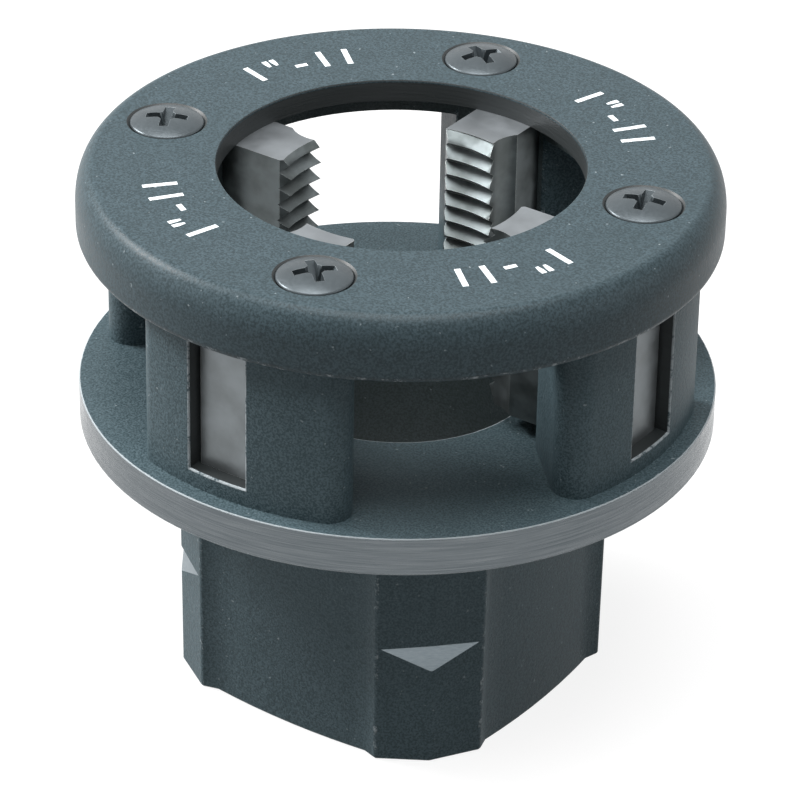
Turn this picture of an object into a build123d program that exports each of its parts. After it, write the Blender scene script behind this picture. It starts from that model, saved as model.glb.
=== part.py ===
from build123d import *
import math
import os

# A drop-in die head for 1 inch pipe. The origin is the centre of the shank's
# lower end, +Z runs along the pipe, and the four dies lie on the X and Y axes.

# Thread that the dies cut: 11 to the inch, right-hand, tapered. Its rounded crests
# and roots are drawn sharp
thread_pitch = 25.4 / 11
thread_depth = 0.6403 * thread_pitch
thread_taper = 1 / 32
crest_radius = 15.15
first_crest_drop = 1.3
die_count = 4

# Outside of the head, shared by the flange and the cover
outer_radius = 41.0

# Body casting, upwards: lobed shank, round flange, four posts under a thin ring
shank_length = 36.7
flange_thickness = 5.2
sill_height = 2.4
die_height = 24.8
ring_thickness = 2.4
post_bore = 25.4
pipe_bore = 17.9
window_ahead = 13.8
window_behind = 11.25
post_corner = 3.0
slot_width = 8.5

# Section of the shank where it meets the flange. The lobes' corners and the faces
# between them are set in from the ridges
ridge_radius = 28.5
ridge_round = 1.5
lobe_corner_inset = 0.7
lobe_corner_angle = 14.8
face_inset = 5.1
face_half_width = 11.8
face_crown = 0.7
shank_draft = 0.5
shank_end_edge = 0.3

# Notch ground across the ridge of each lobe
notch_shoulder = 17.0
notch_height = 3.1
notch_depth = 1.45
notch_half_width = 9.0

# Cover, a cap whose rim comes down outside the posts
plate_thickness = 3.0
cover_lip = 2.1
rim_depth = 8.4
rim_wall = 2.1
rim_round_across = 2.5
rim_round_down = 4.5
rim_bands = 2
rim_clearance = 0.2

# Dies
die_clearance = 0.075
die_recess = 2.1
die_bevel = 0.35
hook_radius = 4.8
hook_outward = 16.9
hook_aside = 7.8
heel_bevel = 1.4
relief_width = 0.95
relief_height = 1.45
throat_radius = 17.3
throat_length = 2.25 * thread_pitch

# M5 countersunk screws with a cross recess, each left at a turn of its own. Their
# low domes are drawn flat, at the height of the dome's middle
screw_radius = 2.5
screw_length = 16.0
screw_clearance = 0.05
plate_hole = 2.75
sink_radius = 5.15
sink_angle = 90.0
head_radius = 4.9
head_rise = 0.9
screw_inset = 7.0
screw_angle = 16.0
tapped_depth = 14.6
recess_span = 5.2
recess_floor_span = 1.9
recess_depth = 2.5
recess_width = 1.15
recess_turns = (15.3, 62.0, 28.0, 50.4)

lobe_corner_radius = ridge_radius - lobe_corner_inset
face_apothem = ridge_radius - face_inset
flange_top = shank_length + flange_thickness
slot_floor = flange_top + sill_height
body_top = slot_floor + die_height
ring_bottom = body_top - ring_thickness
cover_top = body_top + plate_thickness
rim_bottom = cover_top - rim_depth
rim_bore = outer_radius - rim_wall
post_radius = rim_bore - rim_clearance
die_back = post_radius - die_recess
cover_hole = post_bore - cover_lip
screw_circle = post_radius - screw_inset
die_thickness = slot_width - 2 * die_clearance
quarter_turns = [index * 360 / die_count for index in range(die_count)]
half_step = 180 / die_count


def polar_point(radius, angle):
    return Vector(radius, 0).rotate(Axis.Z, angle)


def off_axis(point):
    return math.hypot(point.X, point.Y)


def upright_plane(angle, centre=(0, 0, 0), lean=0.0):
    """A plane whose X points level along the angle and whose Y points upwards.
    The lean tips it about its own X, so that its Y leads a right-hand thread."""
    outwards = Vector(1, 0, 0).rotate(Axis.Z, angle)
    across = Vector(0, -math.cos(math.radians(lean)), -math.sin(math.radians(lean)))
    return Plane(origin=centre, x_dir=outwards, z_dir=across.rotate(Axis.Z, angle))


def post_ring():
    """Section of the ring that holds the posts. Its seam lies in a chip window, because
    a slot cut across the seam comes out with a false block."""
    with Locations(Location((0, 0, 0), (0, 0, half_step))):
        Circle(post_radius)
        Circle(post_bore, mode=Mode.SUBTRACT)


def save(part, name):
    part.label = name
    export_step(part, f"parts/{name}.step")


os.makedirs("parts", exist_ok=True)

# Body: one casting, machined on its flange, slots, bore and top
with BuildPart() as body:
    # Shank: four wide faces between four lobes, a little slimmer at its end
    with BuildSketch(Plane.XY.offset(shank_length)) as shank_section:
        with BuildLine():
            for turn in quarter_turns:
                face_start = Vector(face_apothem, -face_half_width).rotate(Axis.Z, turn)
                face_middle = polar_point(face_apothem + face_crown, turn)
                face_end = Vector(face_apothem, face_half_width).rotate(Axis.Z, turn)
                ridge_angle = turn + half_step
                ThreePointArc(face_start, face_middle, face_end)
                Polyline(
                    face_end,
                    polar_point(lobe_corner_radius, ridge_angle - lobe_corner_angle),
                    polar_point(ridge_radius, ridge_angle),
                    polar_point(lobe_corner_radius, ridge_angle + lobe_corner_angle),
                    face_start.rotate(Axis.Z, 2 * half_step),
                )
        make_face()
        fillet(shank_section.vertices().sort_by(off_axis)[-die_count:], ridge_round)
    extrude(amount=-shank_length, taper=shank_draft)
    chamfer(body.faces().sort_by(Axis.Z)[0].edges(), shank_end_edge)

    # Notches: a flat shoulder above a slope that runs out on the ridge
    draft_slope = math.tan(math.radians(shank_draft))
    ridge_at_shoulder = ridge_radius - draft_slope * (shank_length - notch_shoulder)
    for turn in quarter_turns:
        with BuildSketch(upright_plane(turn + half_step)):
            with BuildLine():
                Polyline(
                    (ridge_at_shoulder - notch_depth, notch_shoulder),
                    (ridge_at_shoulder + notch_depth, notch_shoulder),
                    (ridge_at_shoulder + notch_depth, notch_shoulder - 2 * notch_height),
                    close=True,
                )
            make_face()
        extrude(amount=notch_half_width, both=True, mode=Mode.SUBTRACT)

    # Flange
    with BuildSketch(Plane.XY.offset(shank_length)):
        Circle(outer_radius)
    extrude(amount=flange_thickness)

    # Posts between the chip windows, and the ring that ties their tops together
    with BuildSketch(Plane.XY.offset(flange_top)) as post_section:
        post_ring()
        with PolarLocations(0, die_count, start_angle=half_step):
            with Locations((post_radius / 2, (window_ahead - window_behind) / 2)):
                Rectangle(post_radius, window_ahead + window_behind, mode=Mode.SUBTRACT)
        outer_corners = post_section.vertices().sort_by(off_axis)[-2 * die_count :]
        fillet(outer_corners, post_corner)
    extrude(amount=ring_bottom - flange_top)
    with BuildSketch(Plane.XY.offset(ring_bottom)):
        post_ring()
    extrude(amount=ring_thickness)

    # Slots for the dies, open at the top and at both ends
    with BuildSketch(Plane.XY.offset(slot_floor)):
        with PolarLocations((pipe_bore + outer_radius) / 2, die_count):
            Rectangle(outer_radius - pipe_bore, slot_width)
    extrude(amount=die_height, mode=Mode.SUBTRACT)

    # Bore that guides the pipe to the dies
    with BuildSketch():
        Circle(pipe_bore)
    extrude(amount=flange_top, mode=Mode.SUBTRACT)

    # Tapped holes, one beside each slot
    with Locations(Plane.XY.offset(body_top)):
        with PolarLocations(screw_circle, die_count, start_angle=screw_angle):
            Hole(screw_radius + screw_clearance, depth=tapped_depth)
save(body.part, "body")

# Cover: one turned cap with a large hole for the pipe and four countersinks
round_centre = Vector(outer_radius - rim_round_across, cover_top - rim_round_down)
round_points = []
for step in range(rim_bands + 1):
    around = math.radians(90 * step / rim_bands)
    reach = Vector(rim_round_across * math.cos(around), rim_round_down * math.sin(around))
    round_points.append(round_centre + reach)

with BuildPart() as cover_plate:
    with BuildSketch(Plane.XZ):
        with BuildLine():
            Polyline(
                (cover_hole, body_top),
                (rim_bore, body_top),
                (rim_bore, rim_bottom),
                (outer_radius, rim_bottom),
                *round_points,
                (cover_hole, cover_top),
                close=True,
            )
        make_face()
    revolve(axis=Axis.Z)
    with Locations(Plane.XY.offset(cover_top)):
        with PolarLocations(screw_circle, die_count, start_angle=screw_angle):
            CounterSinkHole(plate_hole, sink_radius, counter_sink_angle=sink_angle)
save(cover_plate.part, "cover_plate")

# Dies: four chasers with their teeth, flat ends outwards
die_middle = (0, 0, slot_floor + die_height / 2)
lead_angle = math.degrees(math.atan(thread_pitch / (2 * math.pi * crest_radius)))
plug_core = crest_radius - 2 * thread_depth
heel_corner = math.sqrt(crest_radius**2 - (die_thickness / 2) ** 2)
heel_run = heel_corner - plug_core + heel_bevel


def crest_at(height):
    """Radius of the tooth crests, which open out towards the shank."""
    return crest_radius + thread_taper * (body_top - height)


for index, turn in enumerate(quarter_turns):
    with BuildPart() as die:
        # Blank: a flat bar with a bevelled heel and a hollow-ground hook at its tip
        with BuildSketch(Plane.XY.offset(slot_floor).rotated((0, 0, turn))):
            with BuildLine():
                Polyline(
                    (plug_core, -die_thickness / 2),
                    (die_back - die_bevel, -die_thickness / 2),
                    (die_back, -die_thickness / 2 + die_bevel),
                    (die_back, die_thickness / 2 - die_bevel),
                    (die_back - die_bevel, die_thickness / 2),
                    (plug_core + heel_run, die_thickness / 2),
                    (plug_core, die_thickness / 2 - heel_run),
                    close=True,
                )
            make_face()
            with Locations((hook_outward, -hook_aside)):
                Circle(hook_radius, mode=Mode.SUBTRACT)
        extrude(amount=die_height)

        # Teeth: what a tapered, threaded plug in the middle of the head leaves standing.
        # Their crests climb a quarter of the pitch from each die to the next
        first_crest = body_top - first_crest_drop + thread_pitch * (turn - 90) / 360
        plug_plane = upright_plane(turn, die_middle, lead_angle)
        outline = []
        for row in range(-1, round(die_height / thread_pitch) + 2):
            crest_height = first_crest - row * thread_pitch
            crest = crest_at(crest_height)
            above_middle = crest_height - die_middle[2]
            outline.append((crest, above_middle))
            outline.append((crest + thread_depth, above_middle - thread_pitch / 2))
        with BuildSketch(plug_plane):
            with BuildLine():
                core_top = (0, outline[0][1])
                core_end = (0, outline[-1][1])
                Polyline(core_top, *outline, core_end, close=True)
            make_face()
        revolve(axis=Axis(die_middle, plug_plane.y_dir), mode=Mode.SUBTRACT)

        # Relief at the cover side, and the throat where the pipe enters
        throat_top = slot_floor + throat_length
        relief_bottom = body_top - relief_height
        with BuildSketch(upright_plane(turn)):
            with BuildLine():
                Polyline(
                    (0, body_top),
                    (crest_radius + relief_width, body_top),
                    (crest_radius, relief_bottom),
                    (0, relief_bottom),
                    close=True,
                )
            make_face()
            with BuildLine():
                Polyline(
                    (0, slot_floor),
                    (throat_radius, slot_floor),
                    (crest_at(throat_top), throat_top),
                    (0, throat_top),
                    close=True,
                )
            make_face()
        revolve(axis=Axis.Z, mode=Mode.SUBTRACT)
    save(die.part, f"die_{index + 1}")

# Screws: the head fills its countersink and stands a little proud of the cover
seat_gap = screw_clearance * math.sqrt(2)
head_edge = head_radius + seat_gap - sink_radius
neck_depth = head_edge - (head_radius - screw_radius)

for index, turn in enumerate(quarter_turns):
    place = polar_point(screw_circle, screw_angle + turn)
    centre = (place.X, place.Y, cover_top)
    with BuildPart() as screw:
        with BuildSketch(upright_plane(0, centre)):
            with BuildLine():
                Polyline(
                    (0, head_rise),
                    (head_radius, head_rise),
                    (head_radius, head_edge),
                    (screw_radius, neck_depth),
                    (screw_radius, -screw_length),
                    (0, -screw_length),
                    close=True,
                )
            make_face()
        revolve(axis=Axis(centre, (0, 0, 1)))

        # Cross recess: two tapered slots across the head
        for wing in (0, 90):
            with BuildSketch(upright_plane(recess_turns[index] + wing, centre)):
                with BuildLine():
                    Polyline(
                        (-recess_span / 2, head_rise),
                        (recess_span / 2, head_rise),
                        (recess_floor_span / 2, head_rise - recess_depth),
                        (-recess_floor_span / 2, head_rise - recess_depth),
                        close=True,
                    )
                make_face()
            extrude(amount=recess_width / 2, both=True, mode=Mode.SUBTRACT)
    save(screw.part, f"cover_screw_{index + 1}")
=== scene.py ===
import math

import bmesh
import bpy
from mathutils import Matrix, Vector


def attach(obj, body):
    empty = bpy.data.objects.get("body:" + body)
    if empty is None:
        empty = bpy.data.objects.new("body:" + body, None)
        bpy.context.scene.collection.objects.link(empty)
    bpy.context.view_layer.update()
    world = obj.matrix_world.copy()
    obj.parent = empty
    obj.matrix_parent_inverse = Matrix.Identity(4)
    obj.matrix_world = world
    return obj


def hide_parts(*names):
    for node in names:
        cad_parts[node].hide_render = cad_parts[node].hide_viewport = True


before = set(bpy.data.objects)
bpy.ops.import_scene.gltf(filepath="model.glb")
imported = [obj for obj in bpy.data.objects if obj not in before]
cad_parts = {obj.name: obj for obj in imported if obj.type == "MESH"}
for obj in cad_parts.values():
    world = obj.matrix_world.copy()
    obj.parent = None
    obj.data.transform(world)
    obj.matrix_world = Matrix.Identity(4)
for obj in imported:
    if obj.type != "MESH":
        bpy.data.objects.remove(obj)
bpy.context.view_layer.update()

# Body
# One iron casting: a lobed shank, a round flange and four posts tied by a thin ring.
# It is milled for the dies and blued all over, then the flange is turned bright and a
# notch is ground across each lobe.
MM = 0.001
flange_radius = 41.0 * MM
flange_bottom = 36.7 * MM
flange_top = 41.9 * MM
body_top = 69.1 * MM
post_radius = 38.7 * MM
post_bore = 25.4 * MM
slot_half_width = 4.25 * MM
slot_floor = 44.3 * MM
bore_radius = 17.9 * MM
sharp_angle = math.radians(35)
flat_angle = math.radians(0.6)
merge_distance = 0.002 * MM
slack = 0.01 * MM
notch_top = 17.0 * MM
notch_bottom = 13.4 * MM
notch_floor = 26.9 * MM
notch_rise = 0.6


def joined_copy(node):
    """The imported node's triangles, merged and joined into whole faces."""
    mesh = bmesh.new()
    mesh.from_mesh(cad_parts[node].data)
    bmesh.ops.remove_doubles(mesh, verts=mesh.verts, dist=merge_distance)
    bmesh.ops.dissolve_limit(
        mesh, angle_limit=flat_angle, verts=mesh.verts, edges=mesh.edges
    )
    return mesh


def break_edges(mesh, width, segments, wanted=lambda edge: True):
    """Rounds the sharp edges that are wanted and returns the faces of the rounding."""
    sharp = [
        edge
        for edge in mesh.edges
        if edge.is_manifold and edge.calc_face_angle() > sharp_angle and wanted(edge)
    ]
    rounded = bmesh.ops.bevel(
        mesh,
        geom=sharp,
        offset=width,
        offset_type="OFFSET",
        affect="EDGES",
        segments=segments,
        profile=0.5,
        clamp_overlap=True,
        material=-1,
    )
    return rounded["faces"]


def finished(name, mesh, node, slot, *materials):
    """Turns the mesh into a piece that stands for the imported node."""
    data = bpy.data.meshes.new(name)
    for face in mesh.faces:
        face.smooth = True
    for edge in mesh.edges:
        edge.smooth = edge.is_manifold and edge.calc_face_angle() < sharp_angle
    mesh.to_mesh(data)
    mesh.free()
    piece = bpy.data.objects.new(name, data)
    bpy.context.scene.collection.objects.link(piece)
    for material in materials:
        data.materials.append(material)
    shading = piece.modifiers.new("even shading", "WEIGHTED_NORMAL")
    shading.keep_sharp = True
    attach(piece, "root")
    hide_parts(node)
    return piece


def shade(red, green, blue):
    """A colour as it looks in the light, from 0 to 255, for a shader's socket."""
    parts = [value / 255 for value in (red, green, blue)]
    linear = [v / 12.92 if v <= 0.04045 else ((v + 0.055) / 1.055) ** 2.4 for v in parts]
    return (*linear, 1.0)


def new_material(name):
    """A material and its node tree, with only the surface shader in it."""
    material = bpy.data.materials.new(name)
    material.use_nodes = True
    return material, material.node_tree


def add(tree, kind, inputs=None, **settings):
    """A new node. An input is given a number, a colour or the socket that feeds it."""
    node = tree.nodes.new(kind)
    for key, value in settings.items():
        setattr(node, key, value)
    for key, value in (inputs or {}).items():
        if isinstance(value, bpy.types.NodeSocket):
            tree.links.new(value, node.inputs[key])
        else:
            node.inputs[key].default_value = value
    return node


def position(tree, scale=(1, 1, 1)):
    """Where a point is on the object, stretched by the scale."""
    place = add(tree, "ShaderNodeTexCoord").outputs["Object"]
    return add(tree, "ShaderNodeMapping", {"Vector": place, "Scale": scale}).outputs["Vector"]


def noise(tree, place, scale, detail=2.0, rough=0.5):
    """A soft pattern between 0 and 1, with this many waves to the metre."""
    inputs = {"Vector": place, "Scale": scale, "Detail": detail, "Roughness": rough}
    return add(tree, "ShaderNodeTexNoise", inputs).outputs["Fac"]


def between(tree, value, low, high, start=0.0, end=1.0):
    """Climbs smoothly from start to end while the value goes from low to high."""
    inputs = {"Value": value, "From Min": low, "From Max": high, "To Min": start, "To Max": end}
    node = add(tree, "ShaderNodeMapRange", inputs, interpolation_type="SMOOTHSTEP")
    return node.outputs["Result"]


def combined(tree, operation, first, second):
    """Two values added, multiplied and so on, as the operation says."""
    node = add(tree, "ShaderNodeMath", {0: first, 1: second}, operation=operation)
    return node.outputs["Value"]


def blend(tree, factor, first, second):
    """The first colour where the factor is 0 and the second where it is 1."""
    node = add(tree, "ShaderNodeMix", data_type="RGBA")
    for index, value in ((0, factor), (6, first), (7, second)):
        if isinstance(value, bpy.types.NodeSocket):
            tree.links.new(value, node.inputs[index])
        else:
            node.inputs[index].default_value = value
    return node.outputs[2]


def relief(tree, height, depth, under=None):
    """Small bumps of the depth given, laid over those under them."""
    inputs = {"Height": height, "Distance": depth}
    if under:
        inputs["Normal"] = under
    return add(tree, "ShaderNodeBump", inputs).outputs["Normal"]


def surface(tree, **inputs):
    """Sets the surface shader's inputs, named with _ for a space."""
    shader = tree.nodes["Principled BSDF"]
    for key, value in inputs.items():
        socket = shader.inputs[key.replace("_", " ")]
        if isinstance(value, bpy.types.NodeSocket):
            tree.links.new(value, socket)
        else:
            socket.default_value = value


def blued_iron(name, dark, light, grain_scale, grain_depth, rough, sheen=0.15, rubbed_from=1.0):
    """Fine-grained blue-black iron. It turns to bare metal where the edge attribute is high,
    which is rubbing on some edges and a painted highlight on others, and in flecks beyond
    the radius given."""
    material, tree = new_material(name)
    place = position(tree)
    clouds = noise(tree, place, 240, 4.0, 0.7)
    grain = noise(tree, place, grain_scale, 2.0, 0.6)
    mottle = between(tree, grain, 0.36, 0.64)
    mottle = combined(tree, "MULTIPLY", mottle, between(tree, clouds, 0.1, 0.8, 0.6, 1.0))
    colour = blend(tree, mottle, dark, light)
    edge = add(tree, "ShaderNodeAttribute", attribute_name="edge").outputs["Fac"]
    flat = position(tree, (1, 1, 0))
    radius = add(tree, "ShaderNodeVectorMath", {0: flat}, operation="LENGTH").outputs["Value"]
    outer = between(tree, radius, rubbed_from, rubbed_from + 0.5 * MM, 0.0, 0.42)
    flecks = noise(tree, place, 900, 3.0, 0.7)
    # Rubbed metal where edge and flecks add up: real rubbing on some edges, a painted highlight
    # on the rounding of others
    wear_and_highlight = combined(tree, "ADD", combined(tree, "ADD", edge, outer), flecks)
    colour = blend(tree, between(tree, wear_and_highlight, 0.92, 1.14), colour, shade(158, 166, 170))
    specks = noise(tree, place, 1400, 1.0, 0.5)
    colour = blend(tree, between(tree, specks, 0.74, 0.8, 0.0, 0.5), colour, shade(150, 160, 164))
    sand = noise(tree, place, grain_scale * 0.45, 2.0, 0.5)
    normal = relief(tree, sand, grain_depth * 1.6)
    normal = relief(tree, grain, grain_depth, under=normal)
    surface(
        tree,
        Base_Color=colour,
        Roughness=between(tree, grain, 0.3, 0.7, rough - 0.06, rough + 0.08),
        Normal=normal,
        Metallic=0.0,
        Specular_IOR_Level=sheen,
    )
    return material


cast_iron = blued_iron(
    "cast blued iron",
    shade(52, 67, 72),
    shade(83, 99, 105),
    3600,
    0.05 * MM,
    0.5,
    rubbed_from=flange_radius - 0.6 * MM,
)

turned_steel, tree = new_material("turned steel")
lathe_lines = noise(tree, position(tree, (90, 90, 7000)), 1.0, 3.0, 0.7)
smears = noise(tree, position(tree, (160, 160, 700)), 1.0, 3.0)
glints = noise(tree, position(tree), 1300, 2.0, 0.6)
tone = between(tree, lathe_lines, 0.25, 0.75)
tone = combined(tree, "MULTIPLY", tone, between(tree, smears, 0.2, 0.8, 0.7, 1.0))
surface(
    tree,
    Base_Color=blend(tree, tone, shade(84, 91, 95), shade(118, 123, 126)),
    Metallic=0.9,
    Roughness=between(tree, smears, 0.3, 0.7, 0.2, 0.3),
    Normal=relief(tree, glints, 0.01 * MM, under=relief(tree, lathe_lines, 0.05 * MM)),
)

ground_iron, tree = new_material("ground iron")
grit = noise(tree, position(tree, (1200, 1200, 9000)), 1.0, 3.0, 0.6)
surface(
    tree,
    Base_Color=blend(tree, grit, shade(108, 120, 127), shade(150, 160, 165)),
    Metallic=0.7,
    Roughness=0.42,
    Normal=relief(tree, grit, 0.03 * MM),
)

# Dark machined iron for the slots, the cover's hole and the countersinks. Its darkness is partly
# their bluing and partly painted shade, for these lie deep in shade.
milled_iron_and_shade, tree = new_material("blued milled iron")
mill_lines = noise(tree, position(tree, (90, 90, 3000)), 1.0, 2.0)
surface(
    tree,
    Base_Color=blend(tree, mill_lines, shade(28, 31, 32), shade(44, 49, 50)),
    Roughness=0.5,
    Normal=relief(tree, mill_lines, 0.03 * MM),
)
turned_iron = blued_iron(
    "turned blued iron", shade(60, 69, 70), shade(78, 88, 90), 3600, 0.02 * MM, 0.36, sheen=0.3
)
body_materials = (cast_iron, turned_steel, ground_iron, milled_iron_and_shade, turned_iron)


def off_axis(point):
    """How far the point is from the axis of the head."""
    return math.hypot(point.x, point.y)


def on_circle(face, radius):
    return all(abs(off_axis(vert.co) - radius) < 0.1 * MM for vert in face.verts)


body = joined_copy("body")
for face in body.faces:
    centre = face.calc_center_median()
    upright = abs(face.normal.z) < 0.1
    on_rim = off_axis(centre) > flange_radius - 0.8 * MM
    if on_rim and upright and flange_bottom < centre.z < flange_top:
        face.material_index = body_materials.index(turned_steel)
    elif notch_bottom < centre.z < notch_top and face.normal.z > 0.3:
        face.material_index = body_materials.index(ground_iron)
    elif upright and (on_circle(face, post_bore) or on_circle(face, bore_radius)):
        face.material_index = body_materials.index(turned_iron)

# The shoulder over each notch rises towards the lobe's ridge
for vert in body.verts:
    outwards = (abs(vert.co.x) + abs(vert.co.y)) / math.sqrt(2) - notch_floor
    if abs(vert.co.z - notch_top) < slack and outwards > 0:
        vert.co.z += notch_rise * outwards


def outside(edge, radius):
    return off_axis((edge.verts[0].co + edge.verts[1].co) / 2) > radius


def above(edge, height):
    return all(vert.co.z > height for vert in edge.verts)


def tall(edge):
    """Whether the edge runs up the head and not round it."""
    return abs(edge.verts[0].co.z - edge.verts[1].co.z) > 4 * MM


def in_slot(edge):
    """Whether the edge lies in a die's slot or on its border."""
    aside = max(min(abs(vert.co.x), abs(vert.co.y)) for vert in edge.verts)
    return above(edge, slot_floor - slack) and aside < slot_half_width + slack


# Edges that are broken together, with the width and how much lighter they are made: the
# slots' mouths, the posts and the ring, the flange's upper edge, the bore's upper edge, the
# shank's upright edges and the flange's lower edge. The slots' mouths and the flange's upper
# edge are rubbed bright; on the others the lighter grey is mostly a painted highlight.
on_flange = flange_top - MM
edge_groups = (
    (lambda e: in_slot(e) and outside(e, post_radius - MM), 0.25 * MM, 0.6),
    (lambda e: above(e, flange_top + MM), 0.3 * MM, 0.3),
    (lambda e: outside(e, flange_radius - MM) and above(e, on_flange), 0.15 * MM, 0.55),
    (lambda e: not outside(e, bore_radius + MM) and above(e, on_flange), 0.3 * MM, 0.7),
    (tall, 0.32 * MM, 0.38),
    (lambda e: outside(e, flange_radius - MM), 0.2 * MM, 0.36),
)
edge_wear_and_highlight = body.faces.layers.float.new("edge")
for wanted, width, wear_and_highlight in edge_groups:
    for face in break_edges(body, width, 3, wanted):
        face.material_index = body_materials.index(cast_iron)
        face[edge_wear_and_highlight] = wear_and_highlight
# Faces in the slots get the dark milled iron: their bluing, and partly painted shade
for face in body.faces:
    centre = face.calc_center_median()
    aside = min(abs(centre.x), abs(centre.y))
    slotted = aside < slot_half_width + slack and centre.z > slot_floor - slack
    if slotted and off_axis(centre) > bore_radius and face[edge_wear_and_highlight] == 0:
        face.material_index = body_materials.index(milled_iron_and_shade)
finished("body_casting", body, "body", "body", *body_materials)

# Cover
# A turned iron cap that holds the dies down. Its rim comes down outside the posts, and
# four screws in countersinks clamp it to them. Blued, with a satin sheen.
plate_thickness = 3.0 * MM
rim_depth = 8.4 * MM
rim_clearance = 0.2 * MM
cover_top = body_top + plate_thickness
cover_bottom = cover_top - rim_depth
cover_radius = flange_radius
cover_hole = 23.3 * MM
rim_bore = post_radius + rim_clearance
rim_round_across = 2.5 * MM
rim_round_down = 4.5 * MM
rim_edge = 0.5 * MM
hole_edge = 0.2 * MM
screw_circle = 31.7 * MM
screw_angle = math.radians(16)
sink_radius = 5.15 * MM
plate_hole = 2.75 * MM
sink_depth = sink_radius - plate_hole
quarter_turns = [index * math.pi / 2 for index in range(4)]


def turned(*points, rounded=(), steps=192, stretch=1.0):
    """A ring or a solid of revolution from its section: points are (radius, height),
    and rounded holds (point, radius, segments) for each corner that is rounded. The
    stretch makes each rounding that many times as high as it is wide."""
    mesh = bmesh.new()
    corners = [mesh.verts.new((radius, 0, height / stretch)) for radius, height in points]
    mesh.faces.new(corners)
    for index, radius, segments in rounded:
        bmesh.ops.bevel(
            mesh,
            geom=[corners[index]],
            offset=radius,
            affect="VERTICES",
            segments=segments,
            profile=0.5,
            clamp_overlap=True,
            material=-1,
        )
    bmesh.ops.delete(mesh, geom=list(mesh.faces), context="FACES_ONLY")
    on_axis = [edge for edge in mesh.edges if all(off_axis(v.co) < slack for v in edge.verts)]
    bmesh.ops.delete(mesh, geom=on_axis, context="EDGES")
    bmesh.ops.spin(
        mesh,
        geom=list(mesh.verts) + list(mesh.edges),
        axis=(0, 0, 1),
        cent=(0, 0, 0),
        angle=2 * math.pi,
        steps=steps,
        use_merge=True,
    )
    bmesh.ops.scale(mesh, verts=mesh.verts, vec=(1, 1, stretch))
    bmesh.ops.remove_doubles(mesh, verts=mesh.verts, dist=merge_distance)
    bmesh.ops.recalc_face_normals(mesh, faces=mesh.faces)
    return mesh


def cut(mesh, *cutters):
    """The mesh with the cutters' shapes taken away."""
    whole = bpy.data.meshes.new("whole")
    mesh.to_mesh(whole)
    mesh.free()
    work = bpy.data.objects.new("work", whole)
    bpy.context.scene.collection.objects.link(work)
    tools = []
    for cutter in cutters:
        data = bpy.data.meshes.new("cutter")
        cutter.to_mesh(data)
        cutter.free()
        tool = bpy.data.objects.new("cutter", data)
        bpy.context.scene.collection.objects.link(tool)
        tools.append(tool)
        step = work.modifiers.new("cut", "BOOLEAN")
        step.operation = "DIFFERENCE"
        step.solver = "EXACT"
        step.object = tool
    view = bpy.context.evaluated_depsgraph_get()
    result = bmesh.new()
    result.from_mesh(work.evaluated_get(view).to_mesh())
    for item in (work, *tools):
        bpy.data.objects.remove(item)
    return result


def moved(mesh, turn=0.0, shift=(0, 0, 0)):
    bmesh.ops.rotate(mesh, verts=mesh.verts, matrix=Matrix.Rotation(turn, 3, "Z"))
    bmesh.ops.translate(mesh, verts=mesh.verts, vec=shift)
    return mesh


def screw_place(turn):
    return Matrix.Rotation(screw_angle + turn, 3, "Z") @ Vector((screw_circle, 0, 0))


cover = turned(
    (cover_hole, body_top),
    (cover_hole, cover_top),
    (cover_radius, cover_top),
    (cover_radius, cover_bottom),
    (rim_bore, cover_bottom),
    (rim_bore, body_top),
    rounded=((2, rim_round_across, 14), (3, rim_edge, 4), (4, hole_edge, 2), (1, hole_edge, 3)),
    stretch=rim_round_down / rim_round_across,
)
sinks = []
for turn in quarter_turns:
    sink = turned(
        (0, body_top - MM),
        (plate_hole, body_top - MM),
        (plate_hole, cover_top - sink_depth),
        (sink_radius + 0.1 * MM, cover_top + 0.1 * MM),
        (sink_radius + 0.1 * MM, cover_top + MM),
        (0, cover_top + MM),
        steps=64,
    )
    sinks.append(moved(sink, shift=screw_place(turn)))
cover = cut(cover, *sinks)
cover_iron = blued_iron(
    "satin blued iron", shade(44, 56, 60), shade(66, 80, 86), 3200, 0.02 * MM, 0.4, sheen=0.14
)
cover_materials = (cover_iron, milled_iron_and_shade)
edge_wear_and_highlight = cover.faces.layers.float.new("edge")
for face in cover.faces:
    centre = face.calc_center_median()
    radius = off_axis(centre)
    # The hole's wall and the countersinks get the dark milled iron: machined bluing, and partly
    # painted shade
    in_sink = cover_hole < radius < rim_bore and 0.3 < face.normal.z < 0.9
    in_hole = radius < cover_hole and abs(face.normal.z) < 0.2
    if in_sink or in_hole:
        face.material_index = cover_materials.index(milled_iron_and_shade)
    elif centre.z < cover_bottom + rim_edge and radius > cover_radius - 1.5 * rim_edge:
        # Painted highlight: the lower outer edge of the rim is lightened through the edge
        # attribute
        face[edge_wear_and_highlight] = 0.42
finished("cover_cap", cover, "cover_plate", "cover_plate", *cover_materials)

# Cover screws
# Four raised countersunk screws with a cross recess, black and satin, each left at the
# turn where it came tight. The heads stand a little proud of the cover.
head_radius = 4.75 * MM
head_rise = 0.9 * MM
head_edge = 0.25 * MM
head_round = 0.35 * MM
dome_radius = 0.55 * head_radius
dome_rise = 0.86 * head_rise
dome_round = 1.3 * MM
screw_radius = 2.5 * MM
screw_length = 16.0 * MM
screw_tip = 0.6 * MM
recess_reach = 2.9 * MM
recess_half_width = 0.62 * MM
recess_depth = 2.6 * MM
recess_step = 0.04 * MM
recess_taper = (0.3, 0.8, 1)
recess_edge = 0.07 * MM
socket_depth = 1.04 * recess_depth
socket_floor = 0.5 * MM
socket_mouth = 1.25 * MM
recess_turns = (15.3, 62.0, 28.0, 50.4)

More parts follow.
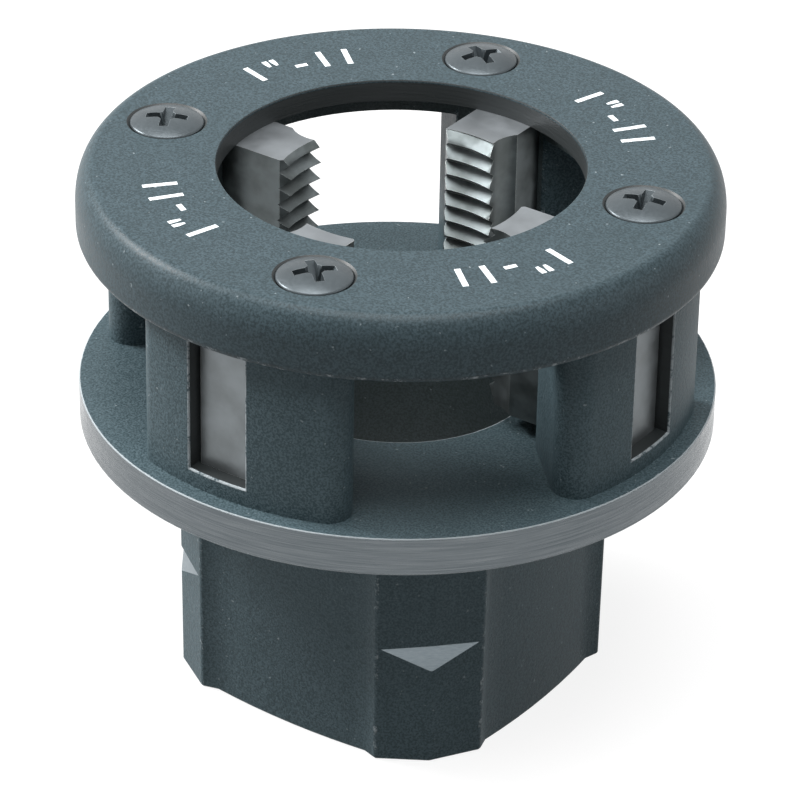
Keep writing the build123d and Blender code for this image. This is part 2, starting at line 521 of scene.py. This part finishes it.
black_screw, tree = new_material("black screw")
place = position(tree)
haze = noise(tree, place, 300, 3.0)
fine = noise(tree, place, 2600, 2.0)
edge = add(tree, "ShaderNodeAttribute", attribute_name="edge").outputs["Fac"]
satin = blend(tree, haze, shade(54, 61, 65), shade(82, 90, 94))
surface(
    tree,
    Base_Color=blend(tree, edge, satin, shade(160, 166, 170)),
    Metallic=0.5,
    Roughness=between(tree, fine, 0.3, 0.7, 0.3, 0.42),
    Normal=relief(tree, fine, 0.01 * MM),
)


def at_recess(edge):
    """Whether the edge lies on the mouth or the upper walls of the cross recess."""
    high = all(vert.co.z > -0.2 * MM for vert in edge.verts)
    return high and off_axis(edge.verts[0].co) < recess_reach + 0.3 * MM


for index, turn in enumerate(quarter_turns):
    screw = turned(
        (0, head_rise),
        (dome_radius, dome_rise),
        (head_radius, 0),
        (head_radius, -head_edge),
        (screw_radius, -head_edge - head_radius + screw_radius),
        (screw_radius, -screw_length),
        (0, -screw_length),
        rounded=((1, dome_round, 8), (2, head_round, 4), (5, screw_tip, 1)),
        steps=96,
    )
    wings = []
    for wing, deeper in ((0, 0.0), (math.pi / 2, recess_step)):
        blade = bmesh.new()
        bmesh.ops.create_cube(blade, size=1)
        size = (2 * recess_reach, 2 * recess_half_width, recess_depth + deeper)
        bmesh.ops.scale(blade, verts=blade.verts, vec=size)
        foot = [vert for vert in blade.verts if vert.co.z < 0]
        bmesh.ops.scale(blade, verts=foot, vec=recess_taper)
        bmesh.ops.translate(blade, verts=blade.verts, vec=(0, 0, head_rise - size[2] / 2))
        wings.append(moved(blade, turn=wing))
    socket = turned(
        (0, head_rise - socket_depth),
        (socket_floor, head_rise - socket_depth),
        (socket_mouth, head_rise + 0.1 * MM),
        (0, head_rise + 0.1 * MM),
        steps=32,
    )
    screw = cut(screw, *wings, socket)
    edge_wear_and_highlight = screw.faces.layers.float.new("edge")
    for face in break_edges(screw, recess_edge, 2, at_recess):
        face[edge_wear_and_highlight] = 0.6
    moved(screw, turn=math.radians(recess_turns[index]))
    moved(screw, shift=screw_place(turn) + Vector((0, 0, cover_top)))
    name = f"cover_screw_{index + 1}"
    finished(f"{name}_dressed", screw, name, "screw", black_screw)

# Dies
# Four flat bars of hardened steel, ground on their faces, with the thread's teeth cut
# across their inner ends and a hollow-ground hook in front of the teeth. They lie in
# the body's slots, one pitch apart between them all the way round.
die_edge = 0.08 * MM

die_steel, tree = new_material("ground die steel")
place = position(tree)
patches = noise(tree, place, 260, 3.0)
scratches = noise(tree, position(tree, (2400, 300, 2400)), 1.0, 2.0)
edge = add(tree, "ShaderNodeAttribute", attribute_name="edge").outputs["Fac"]
ground = add(tree, "ShaderNodeAttribute", attribute_name="ground").outputs["Fac"]
# The ground attribute makes the top faces light and clean and the sides dark and dull: partly
# ground steel against grimy steel, partly painted light on the tops and painted shade on the
# sides
patchy = between(tree, patches, 0.3, 0.7)
dull_and_shaded = blend(tree, patchy, shade(62, 69, 67), shade(104, 112, 113))
clean_and_lit = blend(tree, patches, shade(116, 121, 124), shade(143, 148, 152))
tone = blend(tree, ground, dull_and_shaded, clean_and_lit)
surface(
    tree,
    Base_Color=blend(tree, edge, tone, shade(205, 208, 206)),
    Metallic=0.75,
    Roughness=between(tree, patches, 0.3, 0.7, 0.34, 0.46),
    Normal=relief(tree, scratches, 0.01 * MM),
)
for index in range(4):
    node = f"die_{index + 1}"
    die = joined_copy(node)
    edge_wear_and_highlight = die.faces.layers.float.new("edge")
    ground_and_lit_face = die.faces.layers.float.new("ground")
    # Tone by the way a face looks: up 1, the outer end 0.6, the sides 0.2, partly painted light
    # and shade
    for face in die.faces:
        outer_end = off_axis(face.calc_center_median()) > 0.9 * post_radius
        face[ground_and_lit_face] = 1.0 if face.normal.z > 0.9 else 0.6 if outer_end else 0.2
    # All the broken edges go near white: worn crests, and partly a painted highlight on their
    # rounding
    for face in break_edges(die, die_edge, 2):
        face[edge_wear_and_highlight] = 1.0
    finished(f"{node}_dressed", die, node, "die", die_steel)

# Numbers
# White numbers printed round the cover between the screws, their tops outwards: the
# pipe size and the threads to the inch.
number_text = '1"-11'
number_circle = 30.6 * MM
number_height = 4.4 * MM
font_size = 1.42 * number_height
number_pitch = 3.3 * MM
number_boldness = 0.08 * MM
number_angles = (61.0, 151.0, 241.0, 331.0)
number_lift = 0.02 * MM
ink_thickness = 0.01 * MM

white_print, tree = new_material("white print")
fading = noise(tree, position(tree), 1500, 3.0)
paint = blend(tree, between(tree, fading, 0.3, 0.6), shade(196, 204, 208), shade(236, 240, 242))
surface(tree, Base_Color=paint, Roughness=0.5, Normal=relief(tree, fading, 0.01 * MM))
for index, middle in enumerate(number_angles):
    data = bpy.data.meshes.new(f"size_numbers_{index + 1}")
    printed = bmesh.new()
    for count, letter in enumerate(number_text):
        curve = bpy.data.curves.new("letter", "FONT")
        curve.body = letter
        curve.size = font_size
        curve.align_x = "CENTER"
        curve.align_y = "CENTER"
        curve.extrude = ink_thickness
        curve.offset = number_boldness
        letter_shape = bpy.data.objects.new("letter", curve)
        shape = bpy.data.meshes.new_from_object(letter_shape)
        steps_along = count - (len(number_text) - 1) / 2
        angle = math.radians(middle) - steps_along * number_pitch / number_circle
        place = Matrix.Translation((0, 0, cover_top + number_lift))
        place = place @ Matrix.Rotation(angle - math.pi / 2, 4, "Z")
        place = place @ Matrix.Translation((0, number_circle, 0))
        shape.transform(place)
        printed.from_mesh(shape)
        bpy.data.objects.remove(letter_shape)
    printed.to_mesh(data)
    printed.free()
    data.materials.append(white_print)
    numbers = bpy.data.objects.new(f"size_numbers_{index + 1}", data)
    bpy.context.scene.collection.objects.link(numbers)
    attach(numbers, "root")

# Floor and light
# A pale floor under a white studio: a soft lamp overhead, a wide one at each side, one
# high behind the left side, and little light from the front.
floor_reach = 3.0
floor_grey = 0.19
floor_glow = 0.87
studio_fill = 0.08
lamp_target = Vector((0, 0, 0.04))
viewer_side = -55.3


def seen_or_mirrored(tree):
    """1 for what the camera sees, straight or in metal or glass, and 0 for other light."""
    rays = add(tree, "ShaderNodeLightPath").outputs
    seen = combined(tree, "MAXIMUM", rays["Is Camera Ray"], rays["Is Glossy Ray"])
    return combined(tree, "MAXIMUM", seen, rays["Is Transmission Ray"])


floor_mesh = bmesh.new()
bmesh.ops.create_grid(floor_mesh, x_segments=1, y_segments=1, size=floor_reach)
floor_data = bpy.data.meshes.new("floor")
floor_mesh.to_mesh(floor_data)
floor_mesh.free()
floor = bpy.data.objects.new("floor", floor_data)
bpy.context.scene.collection.objects.link(floor)
floor_paint, tree = new_material("pale floor")
surface(
    tree,
    Base_Color=(floor_grey, floor_grey, floor_grey, 1),
    Roughness=0.9,
    Specular_IOR_Level=0.0,
    Emission_Color=(1, 1, 1, 1),
    Emission_Strength=combined(tree, "MULTIPLY", seen_or_mirrored(tree), floor_glow),
)
floor_data.materials.append(floor_paint)

world = bpy.data.worlds.new("studio")
bpy.context.scene.world = world
world.use_nodes = True
tree = world.node_tree
tree.nodes["Background"].inputs["Color"].default_value = (1, 1, 1, 1)
fill = {"Value": seen_or_mirrored(tree), "To Min": studio_fill, "To Max": 1.0}
strength = add(tree, "ShaderNodeMapRange", fill)
tree.links.new(strength.outputs["Result"], tree.nodes["Background"].inputs["Strength"])


def lamp(name, place, width, height, power):
    """A soft lamp that looks at the middle of the object."""
    data = bpy.data.lights.new(name, "AREA")
    data.shape = "RECTANGLE"
    data.size = width
    data.size_y = height
    data.energy = power
    item = bpy.data.objects.new(name, data)
    bpy.context.scene.collection.objects.link(item)
    item.location = place
    aim = lamp_target - item.location
    item.rotation_euler = aim.to_track_quat("-Z", "Y").to_euler()


def round_about(angle, distance, height):
    """A place so many degrees from the viewer's side, to the left where they are below 0."""
    heading = math.radians(viewer_side + angle)
    return (distance * math.cos(heading), distance * math.sin(heading), height)


lamp("overhead", round_about(-20, 0.15, 1.0), 0.8, 0.8, 14.5)
lamp("left side", round_about(-82, 0.9, 0.25), 0.8, 0.5, 2)
lamp("left behind", round_about(-110, 0.6, 0.5), 0.24, 0.22, 7.5)
lamp("right side", round_about(76, 0.9, 0.25), 0.7, 0.5, 1.1)

# Camera
# It looks down on the head from 30 degrees above the floor, as in the photograph.
camera_place = Vector((0.2810, -0.4058, 0.3260))
camera_target = Vector((0.00031, 0.000215, 0.0375))
camera_roll = math.radians(1.12)
camera_data = bpy.data.cameras.new("camera")
camera_data.sensor_width = 36.0
camera_data.lens = 198.7
camera = bpy.data.objects.new("camera", camera_data)
bpy.context.scene.collection.objects.link(camera)
camera.location = camera_place
level = (camera_target - camera_place).to_track_quat("-Z", "Y").to_matrix()
camera.rotation_euler = (level @ Matrix.Rotation(camera_roll, 3, "Z")).to_euler()
bpy.context.scene.camera = camera
bpy.context.scene.view_settings.view_transform = "Standard"
